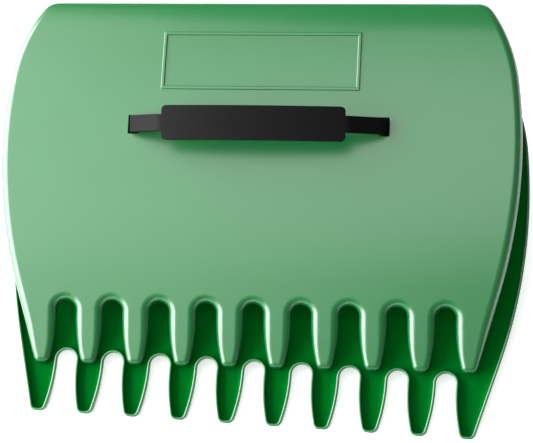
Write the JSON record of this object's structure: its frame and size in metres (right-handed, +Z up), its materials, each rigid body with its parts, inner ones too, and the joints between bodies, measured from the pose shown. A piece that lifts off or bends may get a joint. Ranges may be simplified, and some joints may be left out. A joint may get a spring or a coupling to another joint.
{
  "type": "hand rake",
  "caption": "Leaf scoops laid face to face, each a shallow barrel-curved shell with rounded teeth along one edge and an arched hand strap pushed through slots.",
  "frame": {"origin": "bottom centre of the pair's bounding box, on the surface that the pair lies on", "axes": "+Z up from that surface, +X across the scoops along their row of teeth, -Y from the middle of the pair towards the teeth"},
  "size_m": [0.3966, 0.314, 0.1202],
  "materials": {
    "scoop_plastic": "deep green moulded polypropylene with a soft sheen",
    "strap_plastic": "black moulded polyethylene, satin"
  },
  "bodies": {
    "lower_scoop": {"lower_scoop_shell": "scoop_plastic", "lower_hand_strap": "strap_plastic"},
    "upper_scoop": {"upper_scoop_shell": "scoop_plastic", "upper_hand_strap": "strap_plastic"}
  },
  "joints": [
    {"name": "lift", "type": "slide", "parent": "lower_scoop", "child": "upper_scoop", "axis": [0, 0, 1], "range_m": [0, 0.25]}
  ]
}
